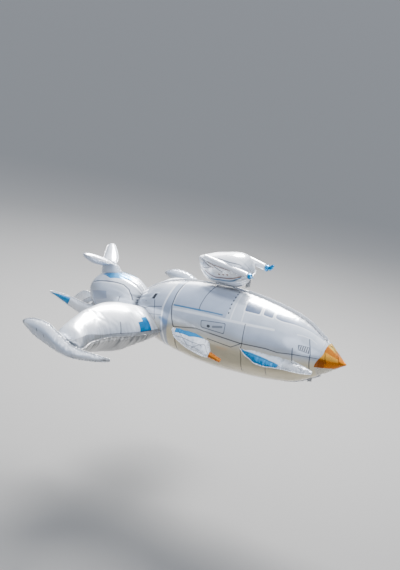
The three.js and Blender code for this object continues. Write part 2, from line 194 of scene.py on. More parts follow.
# Each kind of pad: the slot of its finish; its seed, which its side is added to where nothing puffs
# it; how much longer its film is than its seams; the steps between two given rows; the points around
# it; the axis that its print runs along; its puckers' pitch, depth on the face and on the back, and
# reach; and its margin's height.
Pad = namedtuple("Pad", "slot seed swell steps sides axis pitch face back reach margin")
PADS = {
    "wing": Pad("wing_foil", 50, 0.012, 24, 96, 1, 0.013, 0.0030, 0.0120, 0.024, 0.003),
    "winglet": Pad("wing_foil", 60, 0.012, 20, 64, 0, 0.013, 0.0032, 0.0032, 0.013, 0.003),
    "mid_fin": Pad("pad_foil", 70, 0.03, 14, 64, 0, 0.010, 0.0042, 0.0042, 0.016, 0.003),
    "mid_fin_tip": Pad("orange_foil", 80, 0, 20, 48, 0, 0.008, 0.0015, 0.0015, 0.01, 0.002),
    "canard": Pad("pad_foil", 90, 0.02, 12, 64, 0, 0.012, 0.0030, 0.0040, 0.014, 0.003),
    "upper_tail_fin": Pad("pad_foil", 100, 0, 20, 64, 1, 0.009, 0.0012, 0.0016, 0.013, 0.003),
    "lower_tail_fin": Pad("pad_foil", 110, 0, 22, 64, 1, 0.01, 0.0016, 0.0022, 0.016, 0.003),
    "lower_tail_tip": Pad("blue_foil", 120, 0, 20, 48, 1, 0.008, 0.0014, 0.0018, 0.012, 0.002),
    "tail_pylon": Pad("pod_foil", 129, 0, 24, 64, 2, 0.009, 0.0016, 0.0016, 0.012, 0.003),
    "lower_tail_base": Pad("silver_foil", 139, 0, 20, 64, 2, 0.009, 0.002, 0.002, 0.014, 0.003),
    "barrel_fin": Pad("blue_foil", 170, 0, 14, 32, 2, 0.005, 0.0008, 0.0008, 0.006, 0.0012),
}
PAD_RIPPLE = (0.06, 0.0006)
SEAM_HOLD = 0.004          # the film doesn't move closer to a seam than this
PUFF_FRAMES = 24
FILM = {
    "quality": 6, "mass": 0.02, "air_damping": 1.5, "tension_stiffness": 40,
    "compression_stiffness": 40, "shear_stiffness": 13, "bending_stiffness": 0.2,
    "use_pressure": True, "uniform_pressure_force": 2.0,
}
BARREL_CAP = 0.012
# Each tube's rear end, front end and radius, and which way its fin points.
BARREL_RUNS = {
    "left": ((-0.022, 0.052, 0.229), (0.066, 0.058, 0.212), 0.0105, (0.48, 0, 0.88)),
    "right": ((-0.098, -0.052, 0.220), (0.061, -0.058, 0.203), 0.009, (0.36, -0.89, 0.27)),
}
# How far out on the fin in metres, half its width there, and its thickness in millimetres.
BARREL_FIN_ROWS = [(-0.002, 0.004, 5), (0.006, 0.006, 4.5), (0.014, 0.0055, 3.5), (0.022, 0.002, 1)]
FIN_AHEAD, FIN_LEAN = 0.002, 0.12
# The filling tabs' ends along their upper edge, and how far down they hang.
NECKS = {
    "hull_neck": ((0.296, -0.0005, -0.071), (0.310, -0.0005, -0.069), 0.012),
    "top_pod_neck": ((0.036, -0.0005, 0.176), (0.050, -0.0005, 0.176), 0.027),
}
NECK_STEPS = 60


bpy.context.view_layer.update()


def srgb(red, green, blue):
    """A colour as the eye sees it, 0 to 255, as linear light."""
    values = [c / 255 for c in (red, green, blue)]
    return tuple(c / 12.92 if c <= 0.04045 else ((c + 0.055) / 1.055) ** 2.4 for c in values) + (1.0,)


INK = {
    "pearl": srgb(204, 211, 222), "white": srgb(244, 246, 250), "panel": srgb(150, 163, 186),
    "band": srgb(150, 164, 186), "painted_ground_reflection": srgb(214, 198, 154), "line": srgb(30, 28, 34),
    "faint": srgb(62, 70, 86), "dark": srgb(4, 5, 8), "blue": srgb(0, 128, 186),
    "stripe": srgb(0, 104, 148), "orange": srgb(238, 138, 0), "burnt": srgb(96, 32, 0),
    "silver": srgb(190, 191, 193), "window": srgb(96, 110, 136), "teal": srgb(0, 96, 132),
    "brown": srgb(48, 16, 0), "tan": srgb(132, 84, 52), "yellow": srgb(255, 214, 84),
}


def smooth_rows(rows, steps):
    """Rows with more rows between them, on a smooth curve through each column."""
    rows = np.asarray(rows, float)
    padded = np.concatenate([rows[:1], rows, rows[-1:]])
    out = []
    for p0, p1, p2, p3 in zip(padded, padded[1:], padded[2:], padded[3:]):
        for t in np.arange(steps) / steps:
            out.append(0.5 * (2 * p1 + (p2 - p0) * t + (2 * p0 - 5 * p1 + 4 * p2 - p3) * t * t
                              + (3 * p1 - p0 - 3 * p2 + p3) * t ** 3))
    out.append(rows[-1])
    return np.array(out)


def puckers(along, away, pitch, depth, reach, seed, sharpness=0.9):
    """How deep the creases that run off a seam are, at places along it and away from it."""
    rng = np.random.default_rng(seed)
    low, high = float(np.min(along)) - 2 * pitch, float(np.max(along)) + 2 * pitch
    count = int((high - low) / (0.6 * pitch)) + 4
    places = low + np.cumsum(rng.uniform(0.55, 1.45, count) * pitch)
    deep = depth * rng.uniform(0.25, 1.0, count)
    far = reach * rng.uniform(0.45, 1.4, count)
    phase = np.interp(along, places, np.arange(count))
    nearest = np.clip(np.round(phase).astype(int), 0, count - 1)
    valley = 1 - np.abs(np.sin(np.pi * phase)) ** sharpness
    return valley * deep[nearest] * np.exp(-(np.maximum(away, 0) / far[nearest]) ** 1.2)


def ripples(points, size, height, seed, waves=7):
    """Slow unevenness of the film, as a sum of a few plane waves."""
    rng = np.random.default_rng(seed)
    total = np.zeros(points.shape[:-1])
    for _ in range(waves):
        direction = rng.normal(size=3)
        direction *= 2 * pi / (size * rng.uniform(0.7, 1.6) * np.linalg.norm(direction))
        total += np.sin(points @ direction + rng.uniform(0, 2 * pi))
    return height * total / sqrt(waves)


def outward(grid):
    """Unit normals of a closed ring grid, pointing away from each ring's middle."""
    along = np.gradient(grid, axis=0)
    around = (np.roll(grid, -1, axis=1) - np.roll(grid, 1, axis=1)) / 2
    normal = np.cross(along, around)
    length = np.linalg.norm(normal, axis=-1, keepdims=True)
    normal /= np.maximum(length, 1e-12)
    away = grid - grid.mean(axis=1, keepdims=True)
    return normal if (normal * away).sum() > 0 else -normal


def distances(path):
    """How far along a path each of its points is."""
    return np.append(0, np.cumsum(np.linalg.norm(np.diff(path, axis=0), axis=1)))


def spread(*parts):
    """A grid of points out of their coordinates, each a row, a column or a grid of numbers."""
    return np.stack(np.broadcast_arrays(*parts), -1)


def unit(vectors):
    return vectors / np.linalg.norm(vectors, axis=-1, keepdims=True)


def turn_of(sides):
    """Angles around a piece, from its belly over its top."""
    return np.linspace(-pi, pi, sides, endpoint=False)


def added(name, data):
    """An object in the scene."""
    thing = bpy.data.objects.new(name, data)
    bpy.context.scene.collection.objects.link(thing)
    return thing


def add_skin(name, grid, print_map, seam_map, sharp_angle=55, dents=None):
    """A closed mesh over rings of points, each end shut by a fan, with its two UV maps.

    The maps have one more column than the grid, so that they may jump where the rings close.
    The dents, from 0 to 1, go into the attribute "Crease"."""
    rings, sides = grid.shape[:2]
    ring = np.arange(rings - 1)[:, None] * sides
    side = np.arange(sides)
    after = (side + 1) % sides
    quads = np.stack([ring + side, ring + after, ring + sides + after, ring + sides + side], -1)
    quads = quads.reshape(-1, 4)
    points = np.concatenate([grid.reshape(-1, 3), grid[:1].mean(1), grid[-1:].mean(1)])
    first = np.full(sides, rings * sides)
    last_ring = (rings - 1) * sides
    fans = np.concatenate([np.stack([first, after, side], -1),
                           np.stack([first + 1, last_ring + side, last_ring + after], -1)])
    mesh = bpy.data.meshes.new(name)
    mesh.from_pydata(points.tolist(), [], quads.tolist() + fans.tolist())
    for map_name, values in (("Print", print_map), ("Seam", seam_map)):
        here, there = values[:, :-1], values[:, 1:]
        middle = np.broadcast_to(here.mean(1, keepdims=True), here.shape)
        parts = [np.stack([here[:-1], there[:-1], there[1:], here[1:]], 2),
                 np.stack([middle[0], there[0], here[0]], 1),
                 np.stack([middle[-1], here[-1], there[-1]], 1)]
        flat = np.concatenate([part.reshape(-1, 2) for part in parts])
        mesh.uv_layers.new(name=map_name).data.foreach_set("uv", flat.astype(np.float32).ravel())
    crease = np.zeros(len(points), np.float32)
    if dents is not None:
        crease[:rings * sides] = np.clip(dents, 0, 1).ravel()
    mesh.attributes.new("Crease", "FLOAT", "POINT").data.foreach_set("value", crease)
    mesh.update()
    a, b, c = points[np.concatenate([quads[:, :3], quads[:, [0, 2, 3]], fans])].transpose(1, 0, 2)
    if (a * np.cross(b, c)).sum() < 0:
        mesh.flip_normals()
    mesh.shade_smooth()
    mesh.set_sharp_from_angle(angle=sharp_angle * DEGREE)
    return added(name, mesh)


def settle(piece, slot, material, *nodes, soft=True):
    """Gives a finished piece its material, its body and the solids that it stands for."""
    piece.data.materials.clear()
    piece.data.materials.append(material)
    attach(piece, "root")
    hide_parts(*nodes)


def joined(name, *pieces):
    """Several pieces made one mesh."""
    chosen = {"active_object": pieces[0], "selected_objects": pieces, "selected_editable_objects": pieces}
    with bpy.context.temp_override(**chosen):
        bpy.ops.object.join()
    pieces[0].name = name
    return pieces[0]


class Tree:
    """Nodes added to one tree by short calls; a socket or a plain value goes in alike."""

    def __init__(self, tree):
        self.tree = tree

    def feed(self, socket, value):
        if isinstance(value, bpy.types.NodeSocket):
            self.tree.links.new(value, socket)
        else:
            socket.default_value = value

    def full_node(self, kind, given=(), **settings):
        """A node with its inputs given in order, or by number or name."""
        node = self.tree.nodes.new(kind)
        for key, value in settings.items():
            setattr(node, key, value)
        for key, value in given.items() if isinstance(given, dict) else enumerate(given):
            self.feed(node.inputs[key], value)
        return node

    def node(self, kind, given=(), **settings):
        return self.full_node("ShaderNode" + kind, given, **settings)

    def math(self, operation, *values):
        return self.node("Math", values, operation=operation).outputs[0]

    def times(self, *values):
        return self.math("MULTIPLY", *values)

    def vector(self, operation, *values):
        kind = "Value" if operation in ("DOT_PRODUCT", "LENGTH") else "Vector"
        return self.node("VectorMath", values, operation=operation).outputs[kind]

    def ramp(self, value, low, high, to_low=0.0, to_high=1.0):
        return self.node("MapRange", (value, low, high, to_low, to_high),
                         interpolation_type="SMOOTHSTEP", clamp=False).outputs[0]

    def mix(self, factor, under, over, **settings):
        given = {0: factor, 6: under, 7: over}
        return self.node("Mix", given, data_type="RGBA", **settings).outputs[2]

    def noise(self, point, scale, detail=3.0, roughness=0.5):
        given = {"Vector": point, "Scale": scale, "Detail": detail, "Roughness": roughness}
        return self.node("TexNoise", given).outputs[0]

    def group(self, name, **given):
        return self.node("Group", given, node_tree=bpy.data.node_groups[name]).outputs

    def uv(self, name):
        return self.node("UVMap", uv_map=name).outputs[0]

    def split(self, vector):
        return self.node("SeparateXYZ", [vector]).outputs


# The hull and its nose

STATIONS = smooth_rows(np.array(HULL_ROWS) * MM, 24)


def hull_radius(x):
    return np.interp(x, STATIONS[:, 0], STATIONS[:, 1])


def hull_centre(x):
    return np.interp(x, STATIONS[:, 0], STATIONS[:, 2])


def hull_creases(x, angle):
    """How far the hull's film lies inside its round shape."""
    radius = hull_radius(x)
    from_top = np.abs(angle) * radius
    from_belly = (pi - np.abs(angle)) * radius
    ends = 0.35 + np.clip((np.abs(x - 0.02) - 0.12) / 0.2, 0, 1)
    side = np.where(angle > 0, 0, 100)
    depth = puckers(x + side, from_top, 0.019, 0.0016, 0.022, 3) * ends
    depth += puckers(x + side, from_belly, 0.015, 0.0034, 0.022, 5) * ends
    depth += puckers(angle * 0.06, x - WAIST_X, 0.014, 0.0085, 0.042, 8)
    depth += 0.0016 * (np.exp(-from_top / 0.005) + np.exp(-from_belly / 0.005))
    return depth


def hull_skin(name, x):
    x = x[:, None]
    angle = turn_of(HULL_SIDES)
    round_radius = hull_radius(x)
    fade = np.clip(round_radius / 0.04, 0, 1)
    smooth = spread(x, -round_radius * np.sin(angle), round_radius * np.cos(angle))
    creases = fade * hull_creases(x, angle)
    radius = round_radius - creases - fade * ripples(smooth, 0.09, 0.0006, 21)
    grid = spread(x, -radius * np.sin(angle), hull_centre(x) + radius * np.cos(angle))
    wrapped = np.abs(np.append(angle, pi))
    away = np.minimum(wrapped, pi - wrapped) * round_radius
    return add_skin(name, grid, spread(x, wrapped * HULL_PRINT_RADIUS), spread(x, away),
                    dents=creases / CREASE_DEPTH)


def flange(name, path, up, across, height, seed, wave=0.0012, rows=5):
    """The narrow wavy margin of a heat-sealed seam: a strip that stands on a path.

    up and across are unit vectors, one or one for each point; height is a number or an array.
    Its seam map lies below zero away from the seam, which tells it from the film beside it."""
    rng = np.random.default_rng(seed)
    up, across = (np.broadcast_to(v, path.shape)[:, None] for v in (up, across))
    length = distances(path)
    height = np.broadcast_to(height, length.shape)
    sway = np.zeros_like(length)
    edge = np.zeros_like(length)
    for size in (0.011, 0.017, 0.031):
        sway += np.sin(length * 2 * pi / (size * rng.uniform(0.8, 1.2)) + rng.uniform(0, 6)) / 2
        edge += np.sin(length * 2 * pi / (size * rng.uniform(0.6, 1.0)) + rng.uniform(0, 6)) / 3
    rise = np.linspace(0, 1, rows)
    lift = rise * (height * (1 + 0.1 * edge))[:, None]
    lean = rise ** 1.5 * (sway * wave)[:, None]
    middle = path[:, None] + up * lift[..., None] + across * lean[..., None]
    half = across * (FLANGE_THICKNESS / 2)
    grid = np.concatenate([middle + half, (middle - half)[:, ::-1]], axis=1)
    columns = np.concatenate([rise, rise[::-1], rise[:1]])
    return add_skin(name, grid, spread(length[:, None], columns * float(height.max())),
                    spread(length[:, None], -0.001 - 0.004 * columns), sharp_angle=40)


def seam_ribs_tree():
    """Short ribs pressed across a sealed margin, evenly along a path, turned by its rise."""
    tree = bpy.data.node_groups.new("seam_ribs", "GeometryNodeTree")
    kinds = {"Path": "Geometry", "Seed": "Int", "Material": "Material"}
    for label in ("Path", *RIBS, "Seed", "Material"):
        kind = "NodeSocket" + kinds.get(label, "Float")
        tree.interface.new_socket(label, in_out="INPUT", socket_type=kind)
    tree.interface.new_socket("Ribs", in_out="OUTPUT", socket_type="NodeSocketGeometry")
    t = Tree(tree)

    def step(kind, given=(), **settings):
        return t.full_node("GeometryNode" + kind, given, **settings).outputs[0]

    def turned(given, **settings):
        return t.full_node("FunctionNodeAlignRotationToVector", given, **settings).outputs[0]

    given = t.full_node("NodeGroupInput").outputs
    curve = step("MeshToCurve", {"Mesh": given["Path"]})
    spots = step("ResampleCurve", {"Curve": curve, "Length": given["Pitch"]}, mode="LENGTH")
    rise = step("InputNamedAttribute", {"Name": "rise"}, data_type="FLOAT_VECTOR")
    along = turned({"Vector": step("InputTangent")}, axis="X")
    upright = turned({"Rotation": along, "Vector": rise}, axis="Z", pivot_axis="X")
    share = t.full_node("FunctionNodeRandomValue", {"Seed": given["Seed"], 2: 0.55, 3: 1.0},
                        data_type="FLOAT")
    tall = t.times(given["Length"], share.outputs[1])
    size = t.node("CombineXYZ", (given["Width"], given["Depth"], tall)).outputs[0]
    ball = step("MeshUVSphere", {"Segments": 8, "Rings": 5, "Radius": 0.5})
    ribs = step("InstanceOnPoints", {"Points": spots, "Instance": ball, "Rotation": upright, "Scale": size})
    real = step("RealizeInstances", {"Geometry": ribs})
    inked = step("SetMaterial", {"Geometry": real, "Material": given["Material"]})
    t.full_node("NodeGroupOutput", [inked])
    return tree


def seam_ribs(name, path, up, **sizes):
    """A plain mesh of the ribs along a path."""
    tree = bpy.data.node_groups.get("seam_ribs") or seam_ribs_tree()
    line = bpy.data.meshes.new(name)
    line.from_pydata(path.tolist(), [(k, k + 1) for k in range(len(path) - 1)], [])
    rise = line.attributes.new("rise", "FLOAT_VECTOR", "POINT")
    rise.data.foreach_set("vector", np.broadcast_to(up, path.shape).ravel())
    piece = added(name, line)
    nodes = piece.modifiers.new("ribs", "NODES")
    nodes.node_group = tree
    for socket in tree.interface.items_tree:
        if socket.name in sizes:
            nodes[socket.identifier] = sizes[socket.name]
    ready = piece.evaluated_get(bpy.context.evaluated_depsgraph_get())
    made = bpy.data.meshes.new_from_object(ready)
    piece.modifiers.remove(nodes)
    piece.data = made
    return piece


def hull_flange(name, direction, heights, material):
    x = np.linspace(WAIST_X + 0.002, NOSE_X - 0.001, 360)
    path = spread(x, 0.0, hull_centre(x) + direction * (hull_radius(x) - FLANGE_FOOT))
    up = np.array([0, 0, float(direction)])
    height = np.interp(x, (WAIST_X, NOSE_X), heights)
    if direction > 0:
        low, high = TOP_POD_SPAN
        under = np.clip(np.minimum(x - low, high - x) / 0.006, 0, 1)
        height = height * (1 - under) + FLANGE_UNDER_POD * under
    strip = flange(name, path, up, (0, 1, 0), height + FLANGE_FOOT, 31 + direction)
    clear = path[height > 0.0035]
    ribs = seam_ribs(name + "_ribs", clear + up * RIB_RISE, up, Seed=7 + direction,
                     Material=material, **RIBS)
    return joined(name, strip, ribs)


# Pods

def tail_pod_skin(name):
    pod = TAIL_POD
    turn = np.linspace(pi * 0.997, 0.003 * pi, 170)
    x = pod["centre_x"] + np.cos(turn) * pod["half_length"]
    x = np.append(x[x < pod["front_x"]], pod["front_x"])
    x = x[:, None]
    size = np.sqrt(1 - np.abs((x - pod["centre_x"]) / pod["half_length"]) ** pod["bluntness"])
    angle = turn_of(POD_SIDES)
    rise = np.cos(angle)
    radius = size * pod["radius"]
    height = size * np.where(rise > 0, pod["above"], pod["below"])
    grid = spread(x, -radius * np.sin(angle), pod["centre_z"] + height * rise)
    seam = np.abs(np.sin(angle)) * radius
    creases = puckers(angle * 0.05, pod["front_x"] + 0.012 - x, 0.014, 0.0095, 0.04, 12)
    creases += puckers(x + np.where(rise > 0, 0, 50), seam, 0.013, 0.0016, 0.012, 13)
    creases += puckers(angle * 0.03, x - x[0], 0.014, 0.004, 0.018, 14)
    dents = creases / CREASE_DEPTH
    creases += ripples(grid, 0.07, 0.0008, 15)
    grid = grid - outward(grid) * (creases * np.clip(size, 0.2, 1))[..., None]
    wrapped = np.abs(np.append(angle, pi)) * POD_PRINT_RADIUS
    away = np.minimum(wrapped, pi * POD_PRINT_RADIUS - wrapped)
    return add_skin(name, grid, spread(x, wrapped), spread(x, away), dents=dents)


def top_pod_skin(name):
    rows = smooth_rows(np.array(TOP_POD_ROWS) * MM, 18)
    x, seam_z, half_width, above, below = (column[:, None] for column in rows.T)
    angle = turn_of(POD_SIDES)
    rise = np.cos(angle)
    y = -half_width * np.sin(angle)
    z = seam_z + rise * np.where(rise > 0, above, below)
    grid = spread(x, y, z)
    from_seam = np.abs(rise) * np.where(rise > 0, above, below)
    quarter = np.where(rise > 0, 0, 50) + np.where(angle > 0, 0, 100)
    front = 0.5 + np.clip((x + 0.02) / 0.05, 0, 1.3) + np.clip((-0.1 - x) / 0.03, 0, 1)
    creases = puckers(x + quarter, from_seam, 0.011, 0.0021, 0.017, 41) * front
    creases += puckers(angle * 0.04, 0.056 - x, 0.011, 0.0062, 0.022, 43)
    dents = creases / CREASE_DEPTH
    creases += ripples(grid, 0.05, 0.0008, 44)
    size = np.clip(half_width / 0.05, 0.15, 1)
    grid = grid - outward(grid) * (creases * size)[..., None]
    true_angle = np.abs(np.arctan2(y, z - TOP_SEAM_Z))
    wrapped, away = (np.concatenate([v, v[:, :1]], axis=1) for v in (true_angle, from_seam))
    return add_skin(name, grid, spread(x, wrapped * TOP_PRINT_RADIUS), spread(x, away), dents=dents)


def top_pod_frill(name):
    """The sealed margin around the front end of the top pod."""
    rows = smooth_rows(np.array(TOP_POD_ROWS) * MM, 18)
    rows = rows[rows[:, 0] > FRILL_FROM]
    near = np.stack([rows[:, 0], -rows[:, 2], rows[:, 1]], -1)
    path = np.concatenate([near, near[::-1] * (1, -1, 1)])
    run = np.gradient(path, axis=0)
    out = unit(spread(run[:, 1], -run[:, 0], 0.0))
    return flange(name, path - out * FRILL_INSIDE, out, (0, 0, 1), FRILL_HEIGHT, 47, wave=0.0016)


# Inflated pads: wings, winglets and fins

def swept(rows, sweep):
    """A fin's rows moved aft, more so further from the middle."""
    return [(lx - sweep * ly, ly, lz, tx - sweep * ty, ty, tz, thick)
            for lx, ly, lz, tx, ty, tz, thick in rows]


def pad_face(normal, side):
    return unit(np.array(normal, float)) * (1, side, 1)


def pad_edges(rows, side, steps):
    """A pad's leading edge, trailing edge and thickness, on smooth curves."""
    fine = smooth_rows(np.array(rows) * MM, steps)
    return fine[:, :3] * (1, side, 1), fine[:, 3:6] * (1, side, 1), fine[:, 6]


def pad_skin(name, rows, normal, side, pad, seed):
    """Rings of points around a pad, from its leading edge over its face to its trailing edge and back."""
    lead, trail, thickness = pad_edges(rows, side, pad.steps)
    angle = np.arange(pad.sides) / pad.sides * 2 * pi
    rise = np.sign(np.sin(angle)) * np.abs(np.sin(angle)) ** SEAM_SHARPNESS
    middle, half = (lead + trail) / 2, (lead - trail) / 2
    grid = (middle[:, None] + half[:, None] * np.cos(angle)[:, None]
            + pad_face(normal, side) * (thickness[:, None] / 2 * rise)[..., None])
    closed = np.concatenate([grid, grid[:, :1]], axis=1)
    arc = np.cumsum(np.linalg.norm(np.diff(closed, axis=1), axis=-1), axis=1)
    arc = np.pad(arc, ((0, 0), (1, 0)))
    half_way = arc[:, pad.sides // 2, None]
    on_face = np.arange(pad.sides + 1) <= pad.sides // 2
    signed = np.where(on_face, arc, arc - arc[:, -1:])
    from_lead, from_trail = np.abs(signed), np.abs(half_way - arc)
    from_seam = np.minimum(from_lead, from_trail)
    along_lead, along_trail = distances(lead)[:, None], distances(trail)[:, None] + 7
    depth = np.where(on_face, pad.face, pad.back)
    offset = np.where(on_face, 0, 30)
    creases = puckers(along_lead + offset, from_lead, pad.pitch, 1.0, pad.reach, seed) * depth
    creases += puckers(along_trail + offset, from_trail, pad.pitch, 1.0, pad.reach, seed + 1) * depth
    creases += 0.12 * depth * (np.exp(-from_lead / SEAM_HOLD) + np.exp(-from_trail / SEAM_HOLD))
    body = np.clip(half_way / 0.06, 0.1, 1)
    shift = (creases[:, :-1] + ripples(grid, *PAD_RIPPLE, seed + 2)) * body
    keep = np.clip(from_seam[:, :-1] / SEAM_HOLD, 0, 1)
    bent = grid - outward(grid) * (shift * keep)[..., None]
    span = np.abs(closed[..., 1]) if pad.axis == 1 else closed[..., pad.axis]
    along = np.where(from_lead < from_trail, along_lead, along_trail)
    return add_skin(name, bent, spread(span, signed), spread(along, from_seam),
                    dents=creases[:, :-1] / CREASE_DEPTH)


def pad_flange(name, rows, normal, side, pad, seed):
    """The sealed margin around a pad: out along its leading edge, over its tip and back."""
    lead, trail, _ = pad_edges(rows, side, pad.steps)
    chord = unit(lead - trail)
    share = np.linspace(0, 1, 12)[1:-1, None]
    span = unit(lead[-1] - lead[-2])
    turn = share * pi
    tip = lead[-1] + (trail[-1] - lead[-1]) * share
    path = np.concatenate([lead, tip, trail[::-1]])
    up = np.concatenate([chord, chord[-1] * np.cos(turn) + span * np.sin(turn), -chord[::-1]])
    fine = np.linspace(0, len(path) - 1, 4 * len(path))
    path, up = (np.stack([np.interp(fine, np.arange(len(v)), v[:, k]) for k in range(3)], -1)
                for v in (path, up))
    up = unit(up)
    return flange(name, path - up * 0.0008, up, pad_face(normal, side), pad.margin, seed,
                  wave=0.0008, rows=3)


def puffed(piece, sides, swell):
    """Lets a pad's film buckle along its seams under the gas, in a short cloth simulation.

    The film is a little longer than its seams, which hold still, and so do both of its ends."""
    count = len(piece.data.vertices)
    seams = [v for v in range(count - 2) if v % (sides // 2) == 0]
    ends = list(range(sides)) + list(range(count - 2 - sides, count))
    piece.vertex_groups.new(name="held").add(seams + ends, 1.0, "REPLACE")
    film = piece.modifiers.new("film", "CLOTH")
    for key, value in FILM.items():
        setattr(film.settings, key, value)
    film.settings.shrink_min = -swell
    film.settings.vertex_group_mass = "held"
    film.settings.effector_weights.gravity = 0
    film.point_cache.frame_end = PUFF_FRAMES
    scene = bpy.context.scene
    for frame in range(1, PUFF_FRAMES + 1):
        scene.frame_set(frame)
    settled = piece.evaluated_get(bpy.context.evaluated_depsgraph_get())
    places = np.empty(count * 3, np.float32)
    settled.data.vertices.foreach_get("co", places)
    piece.modifiers.remove(film)
    piece.vertex_groups.clear()
    scene.frame_set(1)
    return places.reshape(-1, 3)


# Effects that several prints use

def effect(**inputs):
    """Makes the function below a shader node group of its name; it gives the outputs by name."""
    def build(make):
        tree = bpy.data.node_groups.new(make.__name__, "ShaderNodeTree")
        for label, default in inputs.items():
            kind = "NodeSocketVector" if isinstance(default, tuple) else "NodeSocketFloat"
            tree.interface.new_socket(label, in_out="INPUT", socket_type=kind).default_value = default
        t = Tree(tree)
        outputs = make(t, t.full_node("NodeGroupInput").outputs)
        for label in outputs:
            tree.interface.new_socket(label, in_out="OUTPUT", socket_type="NodeSocketFloat")
        t.full_node("NodeGroupOutput", outputs)
    return build


@effect(Point=(0, 0, 0), Start=(0, 0, 0), End=(1, 0, 0), Width=0.002, Softness=0.0008)
def ink_stroke(t, given):
    """A printed line: full inside its width, soft at its edge, with round ends."""
    run = t.vector("SUBTRACT", given["End"], given["Start"])
    from_start = t.vector("SUBTRACT", given["Point"], given["Start"])
    length = t.math("ADD", t.vector("DOT_PRODUCT", run, run), 1e-12)
    share = t.math("DIVIDE", t.vector("DOT_PRODUCT", from_start, run), length)
    share = t.math("MAXIMUM", t.math("MINIMUM", share, 1.0), 0.0)
    nearest = t.node("VectorMath", {0: run, "Scale": share}, operation="SCALE").outputs["Vector"]
    gap = t.vector("LENGTH", t.vector("SUBTRACT", from_start, nearest))
    half = t.times(given["Width"], 0.5)
    return {"Mask": t.ramp(gap, half, t.math("ADD", half, given["Softness"]), 1.0, 0.0)}


@effect(Point=(0, 0, 0), Start=(0, 0, 0), End=(1, 0, 0))
def ink_edge(t, given):
    """How far a point lies to the left of a straight edge."""
    run = t.vector("NORMALIZE", t.vector("SUBTRACT", given["End"], given["Start"]))
    from_start = t.vector("SUBTRACT", given["Point"], given["Start"])
    return {"Distance": t.vector("DOT_PRODUCT", from_start, t.vector("CROSS_PRODUCT", (0, 0, 1), run))}


@effect(Distance=0.0, Softness=0.0008, Width=0.002)
def ink_area(t, given):
    """A printed area and the line around it, from the distance to its edge."""
    half = t.times(given["Width"], 0.5)
    outer = t.math("ADD", half, given["Softness"])
    return {"Fill": t.ramp(given["Distance"], 0.0, given["Softness"]),
            "Rim": t.ramp(t.math("ABSOLUTE", given["Distance"]), half, outer, 1.0, 0.0)}


@effect(Point=(0, 0, 0), Wave=0.0005, Crinkle=0.00005, Away=1.0)
def foil_film(t, given):
    """Thin metallized film: slow waves, fine crinkle, and how much both roughen its shine."""
    slow = t.noise(given["Point"], 34.0, 2.0)
    fine = t.noise(given["Point"], 240.0, 4.0, 0.6)
    sharp = t.math("ABSOLUTE", t.math("SUBTRACT", t.noise(given["Point"], 90.0, 2.0), 0.5))
    near_seam = t.ramp(given["Away"], 0.0, 0.03, 1.0, 0.0)
    crease = t.times(sharp, t.math("MULTIPLY_ADD", near_seam, -0.0026, -0.0001))
    height = t.math("ADD", t.times(slow, given["Wave"]), t.times(fine, given["Crinkle"]))
    rough = t.math("MULTIPLY_ADD", fine, 0.10, t.times(near_seam, 0.03))
    tint = t.ramp(slow, 0.3, 0.7, 0.93, 1.0)
    return {"Height": t.math("ADD", height, crease), "Roughness": rough, "Tint": tint}


@effect(Along=0.0, Away=1.0, Pitch=0.0022, Reach=0.006, Depth=0.0003)
def seam_crimps(t, given):
    """The fine ribs that a hot seam leaves in the film beside it."""
    turns = t.math("DIVIDE", given["Along"], given["Pitch"])
    noisy = t.node("TexNoise", {"W": turns, "Scale": 0.6}, noise_dimensions="1D").outputs[0]
    wave = t.math("SINE", t.math("MULTIPLY_ADD", turns, 2 * pi, t.times(noisy, 9.0)))
    fade = t.ramp(given["Away"], 0.0, given["Reach"], 1.0, 0.0)
    return {"Height": t.times(t.times(wave, given["Depth"]), fade)}


